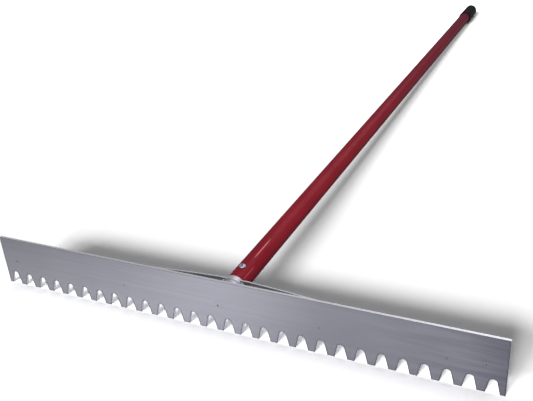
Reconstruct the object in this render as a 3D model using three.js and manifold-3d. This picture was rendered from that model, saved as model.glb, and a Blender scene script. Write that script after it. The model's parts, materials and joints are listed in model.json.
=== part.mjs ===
// Asphalt lute: a notched aluminium blade, braced and bolted to a long tubular handle.
// Lengths are in millimetres and +Z is up. X runs along the blade, the handle runs back along +Y,
// and the origin is the middle of the centre tooth's tip. The tool stands on its teeth, with the
// cap at the far end of its handle on the ground.

import * as THREE from 'three';
import { mergeVertices } from 'three/addons/utils/BufferGeometryUtils.js';
import Module from 'manifold-3d';

const wasm = await Module();
wasm.setup();

// Blade: flat bar with a row of notches along its lower edge
const bladeLength = 914.4;
const bladeHeight = 97.5;
const bladeThickness = 4.76;
const notchPitch = 32.5;
const notchMouthWidth = 20.5;
const notchDepth = 25.4;
const notchTopRadius = 5.75;

// Handle: round tube that lies square to the blade
const tubeDiameter = 38.1;
const tubeWall = 1.65;
const tubeLength = 2133.6;
const tubeAxisHeight = 49.5;

// Hub: turned and cored casting between the blade and the tube
const footDiameter = 52;
const footThickness = 6;
const neckDiameter = 38.1;
const neckFillet = 4;
const hubStandOff = 46.6;
const collarDiameter = 41;
const collarLength = 12;
const collarChamfer = 1;
const spigotLength = 88;
const spigotWall = 5;
const spigotChamfer = 2;
const hubFloorThickness = 40;

// Braces: flat bar, bowed from the hub's collar to the back of the blade
const braceWidth = 31.75;
const braceThickness = 3.18;
const braceSetBack = 5;
const braceRoot = 6;
const braceFirstDrop = 12.5;
const braceEndInset = 11.2;
const braceTabLength = 46;
const braceCornerRadius = 8;
const beadLeg = 3;

// Rivets through the blade and the brace ends
const rivetInset = 18;
const rivetDiameter = 6.4;
const rivetFlushDiameter = 11;
const rivetFlushDepth = 2.2;
const rivetHeadDiameter = 12.5;
const rivetHeadHeight = 2.8;
const mandrelDiameter = 3;
const mandrelDepth = 2;

// Countersunk screw through the blade into the hub's foot
const screwDiameter = 8;
const screwHeadDiameter = 15;
const screwHeadDepth = 3.9;
const screwLength = 30;
const screwSocketDiameter = 4;
const screwSocketDepth = 2.4;

// Bolt down through the handle and the hub's spigot
const boltDiameter = 6.35;
const boltSetBack = 31;
const boltHeadDiameter = 12.5;
const boltHeadHeight = 3.9;
const boltSocketDiameter = 4;
const boltSocketDepth = 1.8;
const boltTail = 2;
const washerDiameter = 15.9;
const washerThickness = 1.6;
const nutWidth = 11.1;
const nutHeight = 5.6;
const nutCollarDiameter = 10;
const nutCollarHeight = 2.4;
const nutInsertHeight = 1.7;
const nutChamfer = 0.9;

// Cap: dipped vinyl sleeve with a rounded end
const capLength = 138;
const capWall = 2.3;
const capEndThickness = 4;
const capEndRadius = 5;
const capRimWidth = 4;
const capRimHeight = 0.5;

// Clearance between pieces that touch, and the overrun of a cut
const seatGap = 0.3;
const overrun = 5;

// Finishes
const brushedAluminium = new THREE.MeshStandardMaterial({ color: 0xa4a4ac, roughness: 0.42, metalness: 0.9 });
const castAluminium = new THREE.MeshStandardMaterial({ color: 0x9b9ba4, roughness: 0.55, metalness: 0.85 });
const zincSteel = new THREE.MeshStandardMaterial({ color: 0xb4b9c0, roughness: 0.3, metalness: 1 });
const redPowderCoat = new THREE.MeshStandardMaterial({ color: 0x8a1b25, roughness: 0.35, metalness: 0 });
const blackVinyl = new THREE.MeshStandardMaterial({ color: 0x1c1c1f, roughness: 0.6, metalness: 0 });
const whiteNylon = new THREE.MeshStandardMaterial({ color: 0xd9d9d2, roughness: 0.5, metalness: 0 });

// Radii and places that follow from the sizes above. The notches are even in number, so that a
// tooth stands at the middle of the blade.
const notchCount = 2 * Math.floor(bladeLength / 2 / notchPitch);
const tubeRadius = tubeDiameter / 2;
const tubeBore = tubeRadius - tubeWall;
const bladeBack = bladeThickness / 2;
const bladeFront = -bladeThickness / 2;
const hubFront = bladeBack + seatGap;
const collarFront = bladeBack + hubStandOff;
const collarBack = collarFront + collarLength;
const tubeStart = collarBack + seatGap;
const tubeEnd = tubeStart + tubeLength;
const spigotRadius = tubeBore - seatGap;
const spigotEnd = collarBack + spigotLength;
const boltPlace = tubeStart + boltSetBack;
const capTip = tubeEnd + seatGap + capEndThickness;
const capBore = tubeRadius + seatGap;
const capRadius = capBore + capWall;
const braceStart = collarDiameter / 2 + seatGap;
const braceEndPlace = bladeLength / 2 - braceEndInset;
const braceLandingPlace = braceEndPlace - braceTabLength;
const rivetPlace = braceEndPlace - rivetInset;
const braceAtCollar = collarBack - braceSetBack;
const braceAtBlade = bladeBack + seatGap + braceThickness / 2;

// How finely round forms are divided
const tubeSides = 64;
const hubSides = 48;
const fastenerSides = 24;
const notchArcSteps = 10;
const braceCurveSteps = 24;
const filletSteps = 6;
const beadSteps = 12;
const beadSides = 8;
const hexSides = 6;

// Solids: closed geometry to the boolean library and back

function toSolid(geometry) {
  const bare = geometry.clone();
  bare.deleteAttribute('normal');
  bare.deleteAttribute('uv');
  const merged = mergeVertices(bare);
  return new wasm.Manifold(new wasm.Mesh({
    numProp: 3,
    vertProperties: new Float32Array(merged.attributes.position.array),
    triVerts: new Uint32Array(merged.index.array),
  }));
}

function toGeometry(solid) {
  const mesh = solid.getMesh();
  const geometry = new THREE.BufferGeometry();
  geometry.setAttribute('position', new THREE.BufferAttribute(new Float32Array(mesh.vertProperties), 3));
  geometry.setIndex(new THREE.BufferAttribute(new Uint32Array(mesh.triVerts), 1));
  geometry.computeVertexNormals();
  return geometry;
}

function cut(body, ...tools) {
  let solid = toSolid(body);
  for (const tool of tools) solid = solid.subtract(toSolid(tool));
  return toGeometry(solid);
}

// A profile of [radius, place along the axis] points, revolved about an axis along +Y
function turned(profile, sides) {
  return new THREE.LatheGeometry(profile.map(([radius, along]) => new THREE.Vector2(radius, along)), sides);
}

// The same about a vertical axis, with its places measured up from zero
function turnedUpright(profile, sides) {
  return turned(profile, sides).rotateX(Math.PI / 2);
}

// Quarter arc for a profile, from one angle to another about a centre
function arcPoints(centreRadius, centreAlong, radius, fromAngle, toAngle) {
  const points = [];
  for (let step = 0; step <= filletSteps; step += 1) {
    const angle = fromAngle + (toAngle - fromAngle) * step / filletSteps;
    points.push([centreRadius + radius * Math.cos(angle), centreAlong + radius * Math.sin(angle)]);
  }
  return points;
}

// Blade

// Half the notch's mouth leans in to a round top that is tangent to both flanks
function notchOutline(centre) {
  const rise = notchDepth - notchTopRadius;
  const half = notchMouthWidth / 2;
  const reach = Math.hypot(half, rise);
  const tangentAngle = Math.atan2(rise, half) + Math.acos(notchTopRadius / reach) - Math.PI;
  const points = [[centre - half, 0]];
  for (let step = 0; step <= notchArcSteps; step += 1) {
    const angle = (Math.PI + tangentAngle) - (Math.PI + 2 * tangentAngle) * step / notchArcSteps;
    points.push([centre + notchTopRadius * Math.cos(angle), rise + notchTopRadius * Math.sin(angle)]);
  }
  points.push([centre + half, 0]);
  return points;
}

function bladeOutline() {
  const outline = [new THREE.Vector2(-bladeLength / 2, 0)];
  for (let notch = 0; notch < notchCount; notch += 1) {
    const centre = (notch - (notchCount - 1) / 2) * notchPitch;
    for (const [x, z] of notchOutline(centre)) outline.push(new THREE.Vector2(x, z));
  }
  outline.push(new THREE.Vector2(bladeLength / 2, 0));
  outline.push(new THREE.Vector2(bladeLength / 2, bladeHeight));
  outline.push(new THREE.Vector2(-bladeLength / 2, bladeHeight));
  return new THREE.Shape(outline);
}

// A flat outline drawn in X and Z, given a thickness along Y between two places
function plate(shape, fromY, toY) {
  const slab = new THREE.ExtrudeGeometry(shape, { depth: toY - fromY, bevelEnabled: false });
  return slab.rotateX(Math.PI / 2).translate(0, toY, 0);
}

function rivetHole() {
  return turned([
    [0, bladeFront - overrun],
    [rivetFlushDiameter / 2 + seatGap, bladeFront - overrun],
    [rivetFlushDiameter / 2 + seatGap, bladeFront],
    [rivetDiameter / 2 + seatGap, bladeFront + rivetFlushDepth],
    [rivetDiameter / 2 + seatGap, braceAtBlade + overrun],
    [0, braceAtBlade + overrun],
  ], fastenerSides);
}

function screwHole() {
  return turned([
    [0, bladeFront - overrun],
    [screwHeadDiameter / 2 + seatGap, bladeFront - overrun],
    [screwHeadDiameter / 2 + seatGap, bladeFront],
    [screwDiameter / 2 + seatGap, bladeFront + screwHeadDepth],
    [screwDiameter / 2 + seatGap, bladeFront + screwLength + seatGap],
    [0, bladeFront + screwLength + seatGap],
  ], fastenerSides).translate(0, 0, tubeAxisHeight);
}

function blade() {
  const holes = [-rivetPlace, rivetPlace].map((x) => rivetHole().translate(x, 0, tubeAxisHeight));
  return cut(plate(bladeOutline(), bladeFront, bladeBack), ...holes, screwHole());
}

// Hub

function hub() {
  const neck = neckDiameter / 2;
  const collar = collarDiameter / 2;
  const foot = footDiameter / 2;
  const body = turned([
    [0, hubFront],
    [foot, hubFront],
    [foot, hubFront + footThickness],
    ...arcPoints(neck + neckFillet, hubFront + footThickness + neckFillet, neckFillet, -Math.PI / 2, -Math.PI),
    [neck, collarFront],
    [collar - collarChamfer, collarFront],
    [collar, collarFront + collarChamfer],
    [collar, collarBack - collarChamfer],
    [collar - collarChamfer, collarBack],
    [spigotRadius, collarBack],
    [spigotRadius, spigotEnd - spigotChamfer],
    [spigotRadius - spigotChamfer, spigotEnd],
    [spigotRadius - spigotWall, spigotEnd],
    [spigotRadius - spigotWall, hubFront + hubFloorThickness],
    [0, hubFront + hubFloorThickness],
  ], hubSides).translate(0, 0, tubeAxisHeight);
  return cut(body, screwHole(), boltHole());
}

// Braces

// The bar's middle line in plan: a short straight root that stands square on the collar, a bow that
// lands on the blade, and a flat end against the blade's back. It starts inside the collar, whose
// round is cut from the bar afterwards.
function braceLine() {
  const bowStart = braceStart + braceRoot;
  const bow = new THREE.QuadraticBezierCurve(
    new THREE.Vector2(bowStart, braceAtCollar),
    new THREE.Vector2((bowStart + braceLandingPlace) / 2, braceAtCollar - braceFirstDrop),
    new THREE.Vector2(braceLandingPlace, braceAtBlade),
  );
  return [
    new THREE.Vector2(0, braceAtCollar),
    ...bow.getPoints(braceCurveSteps),
    new THREE.Vector2(braceEndPlace, braceAtBlade),
  ];
}

// The plan outline is the middle line moved out by half the bar's thickness on both sides
function bracePlan() {
  const line = braceLine();
  const offset = (side) => line.map((point, index) => {
    const before = line[Math.max(index - 1, 0)];
    const after = line[Math.min(index + 1, line.length - 1)];
    const along = after.clone().sub(before).normalize();
    const across = new THREE.Vector2(-along.y, along.x).multiplyScalar(side * braceThickness / 2);
    return point.clone().add(across);
  });
  const back = offset(1);
  const front = offset(-1);
  const landing = line.length - 2;
  for (const edge of [back, front]) edge[landing].y = edge[landing + 1].y;
  return new THREE.Shape([...front, ...back.reverse()]);
}

function braceElevation() {
  const bottom = tubeAxisHeight - braceWidth / 2;
  const top = tubeAxisHeight + braceWidth / 2;
  const shape = new THREE.Shape();
  shape.moveTo(0, bottom);
  shape.lineTo(braceEndPlace - braceCornerRadius, bottom);
  shape.absarc(braceEndPlace - braceCornerRadius, bottom + braceCornerRadius,
    braceCornerRadius, -Math.PI / 2, 0, false);
  shape.absarc(braceEndPlace - braceCornerRadius, top - braceCornerRadius,
    braceCornerRadius, 0, Math.PI / 2, false);
  shape.lineTo(0, top);
  return shape;
}

// A brace is the plan seen from above crossed with the elevation seen from the front, with its
// inner end cut round to the collar
function braceRight() {
  const plan = new THREE.ExtrudeGeometry(bracePlan(), { depth: bladeHeight, bevelEnabled: false });
  const elevation = plate(braceElevation(), 0, collarBack + overrun);
  const collarRound = turned([
    [0, -overrun],
    [braceStart, -overrun],
    [braceStart, collarBack + overrun],
    [0, collarBack + overrun],
  ], hubSides).translate(0, 0, tubeAxisHeight);
  const bar = toSolid(plan).intersect(toSolid(elevation)).subtract(toSolid(collarRound));
  return cut(toGeometry(bar), rivetHole().translate(rivetPlace, 0, tubeAxisHeight));
}

// Where a brace's front or back face lies at its root
function braceFace(side) {
  return braceAtCollar + side * braceThickness / 2;
}

// The same shape on the other side, with its faces turned to point outwards again
function mirroredInX(geometry) {
  const other = geometry.clone().scale(-1, 1, 1);
  const index = other.index.array;
  for (let corner = 0; corner < index.length; corner += 3) {
    const kept = index[corner];
    index[corner] = index[corner + 1];
    index[corner + 1] = kept;
  }
  other.computeVertexNormals();
  return other;
}

// Each weld bead fills the corner between the collar's round and one face of a brace
function weldBead(centreAngle, seat, outward) {
  const halfSpan = Math.asin((braceWidth / 2 - beadLeg) / braceStart);
  const rings = [];
  for (let step = 0; step <= beadSteps; step += 1) {
    const angle = centreAngle + halfSpan * (2 * step / beadSteps - 1);
    const taper = Math.sin(Math.acos(2 * step / beadSteps - 1));
    const leg = beadLeg * (1 + taper) / 2;
    const section = [[braceStart, seat]];
    for (let side = 0; side < beadSides - 1; side += 1) {
      const turn = Math.PI / 2 * side / (beadSides - 2);
      section.push([braceStart + leg * Math.cos(turn), seat + outward * leg * Math.sin(turn)]);
    }
    for (const [radius, along] of section) rings.push(radius * Math.cos(angle), along, radius * Math.sin(angle));
  }
  const faces = [];
  for (let step = 0; step < beadSteps; step += 1) {
    for (let side = 0; side < beadSides; side += 1) {
      const here = step * beadSides + side;
      const beside = step * beadSides + (side + 1) % beadSides;
      faces.push([here, beside, beside + beadSides], [here, beside + beadSides, here + beadSides]);
    }
  }
  const last = beadSteps * beadSides;
  for (let side = 1; side < beadSides - 1; side += 1) {
    faces.push([0, side + 1, side], [last, last + side, last + side + 1]);
  }
  const index = faces.flatMap(([a, b, c]) => (outward > 0 ? [a, b, c] : [a, c, b]));
  const geometry = new THREE.BufferGeometry();
  geometry.setAttribute('position', new THREE.Float32BufferAttribute(rings, 3));
  geometry.setIndex(index);
  return geometry.translate(0, 0, tubeAxisHeight);
}

// Fasteners

function rivet() {
  const shank = rivetDiameter / 2;
  const headSeat = braceAtBlade + braceThickness / 2 + seatGap;
  const head = rivetHeadDiameter / 2;
  const mandrel = mandrelDiameter / 2;
  const dome = [];
  for (let step = 1; step <= filletSteps; step += 1) {
    const angle = Math.PI / 2 * step / filletSteps;
    dome.push([head * Math.cos(angle), headSeat + rivetHeadHeight * Math.sin(angle)]);
  }
  dome[dome.length - 1][0] = 0;
  return turned([
    [0, bladeFront + mandrelDepth],
    [mandrel, bladeFront + mandrelDepth],
    [mandrel, bladeFront],
    [rivetFlushDiameter / 2, bladeFront],
    [shank, bladeFront + rivetFlushDepth],
    [shank, headSeat],
    [head, headSeat],
    ...dome,
  ], fastenerSides).translate(0, 0, tubeAxisHeight);
}

function hubScrew() {
  const shank = screwDiameter / 2;
  const screwEnd = bladeFront + screwLength;
  const body = turned([
    [0, bladeFront],
    [screwHeadDiameter / 2, bladeFront],
    [shank, bladeFront + screwHeadDepth],
    [shank, screwEnd],
    [0, screwEnd],
  ], fastenerSides);
  const socket = turned([
    [0, bladeFront - overrun],
    [screwSocketDiameter / 2, bladeFront - overrun],
    [screwSocketDiameter / 2, bladeFront + screwSocketDepth],
    [0, bladeFront + screwSocketDepth],
  ], hexSides);
  return cut(body, socket).translate(0, 0, tubeAxisHeight);
}

const boltSeat = tubeAxisHeight + tubeRadius + seatGap;
const washerTop = tubeAxisHeight - tubeRadius - seatGap;
const washerBottom = washerTop - washerThickness;
const nutTop = washerBottom - seatGap;
const nutBottom = nutTop - nutHeight;
const nutCollarBottom = nutBottom - nutCollarHeight;
const boltBottom = nutCollarBottom - boltTail;

function boltHole() {
  const radius = boltDiameter / 2 + seatGap;
  const drill = new THREE.CylinderGeometry(radius, radius, tubeDiameter + 2 * overrun, fastenerSides);
  return drill.rotateX(Math.PI / 2).translate(0, boltPlace, tubeAxisHeight);
}

function handleBolt() {
  const shank = boltDiameter / 2;
  const head = boltHeadDiameter / 2;
  const dome = [];
  for (let step = 0; step <= filletSteps; step += 1) {
    const angle = Math.PI / 2 * step / filletSteps;
    dome.push([head * Math.cos(angle), boltSeat + boltHeadHeight * Math.sin(angle)]);
  }
  dome[dome.length - 1][0] = 0;
  const body = turnedUpright([[0, boltBottom], [shank, boltBottom], [shank, boltSeat], ...dome], fastenerSides);
  const headTop = boltSeat + boltHeadHeight;
  const socket = turnedUpright([
    [0, headTop - boltSocketDepth],
    [boltSocketDiameter / 2, headTop - boltSocketDepth],
    [boltSocketDiameter / 2, headTop + overrun],
    [0, headTop + overrun],
  ], hexSides);
  return cut(body, socket).translate(0, boltPlace, 0);
}

// A ring round the bolt, between two heights
function boltRing(outer, bottom, top, sides) {
  const bore = boltDiameter / 2 + seatGap;
  const body = turnedUpright([[0, bottom], [outer, bottom], [outer, top], [0, top]], sides);
  const hole = turnedUpright([
    [0, bottom - overrun],
    [bore, bottom - overrun],
    [bore, top + overrun],
    [0, top + overrun],
  ], fastenerSides);
  return cut(body, hole).translate(0, boltPlace, 0);
}

// Hexagon nut with its corners chamfered and a round collar that holds the nylon ring
function boltNut() {
  const corner = nutWidth / 2 / Math.cos(Math.PI / hexSides);
  const flat = nutWidth / 2;
  const hexagon = turnedUpright([[0, nutBottom], [corner, nutBottom], [corner, nutTop], [0, nutTop]], hexSides);
  const round = turnedUpright([
    [0, nutBottom],
    [flat, nutBottom],
    [corner + seatGap, nutBottom + nutChamfer],
    [corner + seatGap, nutTop - nutChamfer],
    [flat, nutTop],
    [0, nutTop],
  ], fastenerSides);
  const collar = turnedUpright([
    [0, nutCollarBottom],
    [nutCollarDiameter / 2, nutCollarBottom],
    [nutCollarDiameter / 2, nutBottom + nutChamfer],
    [0, nutBottom + nutChamfer],
  ], fastenerSides);
  const pocket = turnedUpright([
    [0, nutCollarBottom - overrun],
    [insertRadius + seatGap, nutCollarBottom - overrun],
    [insertRadius + seatGap, nutCollarBottom + nutInsertHeight + seatGap],
    [0, nutCollarBottom + nutInsertHeight + seatGap],
  ], fastenerSides);
  const bore = turnedUpright([
    [0, nutCollarBottom - overrun],
    [boltDiameter / 2 + seatGap, nutCollarBottom - overrun],
    [boltDiameter / 2 + seatGap, nutTop + overrun],
    [0, nutTop + overrun],
  ], fastenerSides);
  const solid = toSolid(hexagon).intersect(toSolid(round)).add(toSolid(collar))
    .subtract(toSolid(pocket)).subtract(toSolid(bore));
  return toGeometry(solid).translate(0, boltPlace, 0);
}

const insertRadius = (boltDiameter / 2 + seatGap + nutCollarDiameter / 2) / 2 + seatGap;

// Handle and cap

function handleTube() {
  const wall = turned([
    [tubeBore, tubeStart],
    [tubeRadius, tubeStart],
    [tubeRadius, tubeEnd],
    [tubeBore, tubeEnd],
    [tubeBore, tubeStart],
  ], tubeSides).translate(0, 0, tubeAxisHeight);
  return cut(wall, boltHole());
}

function endCap() {
  const capStart = capTip - capLength;
  return turned([
    [capBore, capStart],
    [capRadius, capStart],
    [capRadius + capRimHeight, capStart + capRimHeight],
    [capRadius + capRimHeight, capStart + capRimWidth],
    [capRadius, capStart + capRimWidth + capRimHeight],
    ...arcPoints(capRadius - capEndRadius, capTip - capEndRadius, capEndRadius, 0, Math.PI / 2),
    [0, capTip],
    [0, tubeEnd + seatGap],
    [capBore, tubeEnd + seatGap],
    [capBore, capStart],
  ], tubeSides).translate(0, 0, tubeAxisHeight);
}

// Assembly

const lute = new THREE.Group();

function place(name, geometry, material) {
  const mesh = new THREE.Mesh(geometry, material);
  mesh.name = name;
  lute.add(mesh);
}

place('blade', blade(), brushedAluminium);
place('hub', hub(), castAluminium);
place('brace_right', braceRight(), brushedAluminium);
place('brace_left', mirroredInX(braceRight()), brushedAluminium);
for (const [side, angle, x] of [['right', 0, rivetPlace], ['left', Math.PI, -rivetPlace]]) {
  place(`weld_front_${side}`, weldBead(angle, braceFace(-1) - seatGap, -1), castAluminium);
  place(`weld_back_${side}`, weldBead(angle, braceFace(1) + seatGap, 1), castAluminium);
  place(`brace_rivet_${side}`, rivet().translate(x, 0, 0), castAluminium);
}
place('hub_screw', hubScrew(), zincSteel);
place('handle_tube', handleTube(), redPowderCoat);
place('handle_bolt', handleBolt(), zincSteel);
place('bolt_washer', boltRing(washerDiameter / 2, washerBottom, washerTop, fastenerSides), zincSteel);
place('bolt_nut', boltNut(), zincSteel);
place('nut_insert', boltRing(insertRadius, nutCollarBottom, nutCollarBottom + nutInsertHeight, fastenerSides),
  whiteNylon);
place('end_cap', endCap(), blackVinyl);

// The whole tool leans back about the centre tooth's tip until the round of the cap's far end
// touches the ground that the blade's back arris stands on
const capRoundHeight = tubeAxisHeight - (capRadius - capEndRadius);
const capRoundRun = capTip - capEndRadius - bladeBack;
const capRoundReach = Math.hypot(capRoundHeight, capRoundRun);
const lean = Math.acos(capEndRadius / capRoundReach) - Math.atan2(capRoundRun, capRoundHeight);
lute.rotation.x = -lean;

export default lute;
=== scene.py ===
import json
import math

import bmesh
import bpy
from mathutils import Matrix, Quaternion, Vector


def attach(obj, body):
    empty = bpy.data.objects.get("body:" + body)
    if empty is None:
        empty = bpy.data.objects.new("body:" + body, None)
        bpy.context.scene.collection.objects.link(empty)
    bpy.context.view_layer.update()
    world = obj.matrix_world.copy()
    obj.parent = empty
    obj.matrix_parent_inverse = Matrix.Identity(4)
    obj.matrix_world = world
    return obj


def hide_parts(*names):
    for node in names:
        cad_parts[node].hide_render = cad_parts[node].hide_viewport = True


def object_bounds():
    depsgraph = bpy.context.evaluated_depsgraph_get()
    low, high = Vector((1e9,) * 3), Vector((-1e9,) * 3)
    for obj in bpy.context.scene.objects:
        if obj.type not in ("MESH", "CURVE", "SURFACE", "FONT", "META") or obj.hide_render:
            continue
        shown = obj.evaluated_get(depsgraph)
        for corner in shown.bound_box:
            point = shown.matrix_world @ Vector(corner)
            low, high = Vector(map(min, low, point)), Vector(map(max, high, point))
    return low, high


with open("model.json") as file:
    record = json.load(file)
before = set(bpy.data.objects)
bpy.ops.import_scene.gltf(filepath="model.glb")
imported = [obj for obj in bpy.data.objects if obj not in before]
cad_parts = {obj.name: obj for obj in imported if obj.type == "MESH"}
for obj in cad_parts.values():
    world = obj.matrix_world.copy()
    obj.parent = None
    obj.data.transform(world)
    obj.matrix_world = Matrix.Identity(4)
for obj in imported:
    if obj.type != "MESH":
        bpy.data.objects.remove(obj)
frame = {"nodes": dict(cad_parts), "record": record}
cad_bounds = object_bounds()


# Camera: stands in front of the blade, to its right and above it, and looks down along the handle.
# It is rolled a little, so that the blade's left end rises in the picture. Lengths are in metres, and
# those of the lens and its sensor in millimetres.
camera_place = Vector((0.51914, -0.82801, 0.73479))
camera_aim = Vector((-0.12229, 0.44873, 0))
camera_roll = math.radians(-4.519)
camera_lens = 48.563
camera_sensor = 36

bpy.ops.object.camera_add(location=camera_place)
camera = bpy.context.object
sight = (camera_aim - camera_place).to_track_quat("-Z", "Y")
camera.rotation_euler = (sight @ Quaternion((0, 0, 1), camera_roll)).to_euler()
camera.data.sensor_width = camera_sensor
camera.data.lens = camera_lens
bpy.context.scene.camera = camera


# Stance: the lute stands on its teeth and on the far end of its handle, so the whole tool leans back
# a little about the tip of its middle tooth. Each piece is measured and modelled as if the blade
# stood plumb, and is leaned back when it is finished.
tip_axis = [mount["axis"] for mount in frame["record"]["mounts"] if mount["name"] == "tooth_tip"][0]
lean = math.atan2(-tip_axis[1], -tip_axis[2])
plumb = Matrix.Rotation(lean, 3, "X")


def measured(node):
    """Lowest and highest corner of a solid, turned plumb."""
    places = [plumb @ vertex.co for vertex in frame["nodes"][node].data.vertices]
    low = Vector([min(place[axis] for place in places) for axis in range(3)])
    high = Vector([max(place[axis] for place in places) for axis in range(3)])
    return low, high


def select_only(piece):
    bpy.ops.object.select_all(action="DESELECT")
    piece.select_set(True)
    bpy.context.view_layer.objects.active = piece


def placed(piece, **settings):
    """Turns, moves or scales a piece, and puts that into its mesh."""
    select_only(piece)
    for setting, value in settings.items():
        setattr(piece, setting, value)
    bpy.ops.object.transform_apply(location=True, rotation=True, scale=True)


def leaned_back(piece, soft_degrees=30):
    """Leans a finished piece back with the tool, and smooths what turns by less than an angle."""
    placed(piece, rotation_euler=(-lean, 0, 0))
    bpy.ops.object.shade_smooth_by_angle(angle=math.radians(soft_degrees))


# Blade: one flat aluminium bar, sawn to length, with a row of notches punched along its lower edge.
# The holes for the two end rivets and the hub's screw are drilled and countersunk in front.
blade_low, blade_high = measured("blade")
tube_low, tube_high = measured("handle_tube")
rivet_low, rivet_high = measured("brace_rivet_right")
screw_back = measured("hub_screw")[1].y
blade_front = blade_low.y
blade_back = blade_high.y
axis_height = (tube_low.z + tube_high.z) / 2
rivet_place = (rivet_low.x + rivet_high.x) / 2
notch_count = 28
notch_pitch = 0.0325
notch_mouth = 0.0205
notch_depth = 0.0254
notch_radius = 0.00575
notch_steps = 14
seat_gap = 0.0003
overrun = 0.003
along_handle = (math.radians(-90), 0, 0)
rivet_flush_radius = 0.0055
rivet_shank_radius = 0.0032
rivet_flush_depth = 0.0022
flush_gap = 0.00003
screw_head_radius = 0.0075
screw_shank_radius = 0.004
screw_head_depth = 0.0039
hole_sides = 64
arris_radius = 0.00035
arris_share = 0.9
sharp_angle = math.radians(35)
rim_width = 0.0018
rim_reach = 0.03
end_rim_reach = 0.003
left_end_mark = 0.8
right_end_mark = 0.7
# Points nearer than this are one, and a face looks along an axis past this share of its normal
same_point = 0.00001
facing = math.sqrt(0.5)


def added(name, primitive, **settings):
    """Adds a primitive, names it, and puts its place and size into its mesh."""
    bpy.ops.object.select_all(action="DESELECT")
    primitive(**settings)
    piece = bpy.context.object
    piece.name = name
    piece.data.name = name
    bpy.ops.object.transform_apply(location=True, rotation=True, scale=True)
    return piece


def rod(name, sides, radius, length, middle, turn=(0, 0, 0)):
    """A round or hexagonal rod, which stands up unless it is turned."""
    return added(name, bpy.ops.mesh.primitive_cylinder_add, vertices=sides, radius=radius, depth=length,
                 location=middle, rotation=turn)


def applied(piece, kind, **settings):
    """Gives the piece a modifier with these settings, and applies it."""
    select_only(piece)
    modifier = piece.modifiers.new(kind.title(), kind)
    for setting, value in settings.items():
        setattr(modifier, setting, value)
    bpy.ops.object.modifier_apply(modifier=modifier.name)


def combined(piece, operation, *others):
    """Combines a piece with other solids, which are used up."""
    for other in others:
        applied(piece, "BOOLEAN", operation=operation, solver="EXACT", object=other)
        bpy.data.objects.remove(other)


def cut(piece, *cutters):
    combined(piece, "DIFFERENCE", *cutters)


def pick(piece, kind, wanted):
    """In edit mode, selects the faces or edges for which wanted() is true, and no others."""
    bpy.ops.mesh.select_mode(type=kind)
    bpy.ops.mesh.select_all(action="DESELECT")
    shape = bmesh.from_edit_mesh(piece.data)
    for found in {"FACE": shape.faces, "EDGE": shape.edges}[kind]:
        if wanted(found):
            found.select_set(True)
    bmesh.update_edit_mesh(piece.data)


def runs_through(edge, least):
    """Whether an edge runs from front to back, over at least a length."""
    return abs(edge.verts[0].co.y - edge.verts[1].co.y) > least


blade = added("notched_blade", bpy.ops.mesh.primitive_cube_add, size=1,
              location=(blade_low + blade_high) / 2, scale=blade_high - blade_low)

# A notch narrows upwards from its mouth, and its top is rounded from flank to flank
notch_rise = notch_depth - notch_radius
flank_lean = (math.atan2(notch_mouth / 2, notch_rise)
              - math.asin(notch_radius / math.hypot(notch_mouth / 2, notch_rise)))


def notch_half_width(height):
    return notch_mouth / 2 - height * math.tan(flank_lean)


first_notch = -notch_pitch * (notch_count - 1) / 2
punch = added(
    "punch", bpy.ops.mesh.primitive_cube_add, size=1,
    location=(first_notch, 0, (notch_depth - overrun) / 2),
    scale=(2 * notch_half_width(-overrun), blade_back - blade_front + 2 * overrun, notch_depth + overrun))
bpy.ops.object.mode_set(mode="EDIT")
pick(punch, "FACE", lambda face: face.normal.z > facing)
bpy.ops.transform.resize(
    value=(notch_half_width(notch_depth) / notch_half_width(-overrun), 1, 1),
    center_override=(first_notch, 0, notch_depth))
pick(punch, "EDGE", lambda edge: runs_through(edge, overrun) and all(
    vertex.co.z > notch_depth / 2 for vertex in edge.verts))
bpy.ops.mesh.bevel(offset=notch_half_width(notch_depth), segments=notch_steps, profile=0.5, affect="EDGES")
bpy.ops.mesh.select_all(action="SELECT")
bpy.ops.mesh.remove_doubles(threshold=same_point)
bpy.ops.object.mode_set(mode="OBJECT")
applied(punch, "ARRAY", count=notch_count, use_relative_offset=False, use_constant_offset=True,
        constant_offset_displace=(notch_pitch, 0, 0))
cut(blade, punch)


def drill(place_x, head_radius, shank_radius, head_depth):
    """A countersunk drill that comes in from the blade's front."""
    shank = rod("drill_shank", hole_sides, shank_radius, 4 * (blade_back - blade_front),
                (place_x, 0, axis_height), along_handle)
    slope = (head_radius - shank_radius) / head_depth
    countersink = added(
        "drill_countersink", bpy.ops.mesh.primitive_cone_add, vertices=hole_sides,
        radius1=head_radius + slope * overrun, radius2=shank_radius, depth=head_depth + overrun,
        location=(place_x, blade_front + (head_depth - overrun) / 2, axis_height), rotation=along_handle)
    return shank, countersink


for side in (-1, 1):
    cut(blade, *drill(side * rivet_place, rivet_flush_radius + flush_gap, rivet_shank_radius + seat_gap,
                      rivet_flush_depth))
cut(blade, *drill(0, screw_head_radius + flush_gap, screw_shank_radius + seat_gap, screw_head_depth))
applied(blade, "BEVEL", width=arris_radius, segments=2, limit_method="ANGLE", angle_limit=sharp_angle,
        use_clamp_overlap=False)
for vertex in blade.data.vertices:
    vertex.co.z = min(vertex.co.z, blade_high.z)

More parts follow.
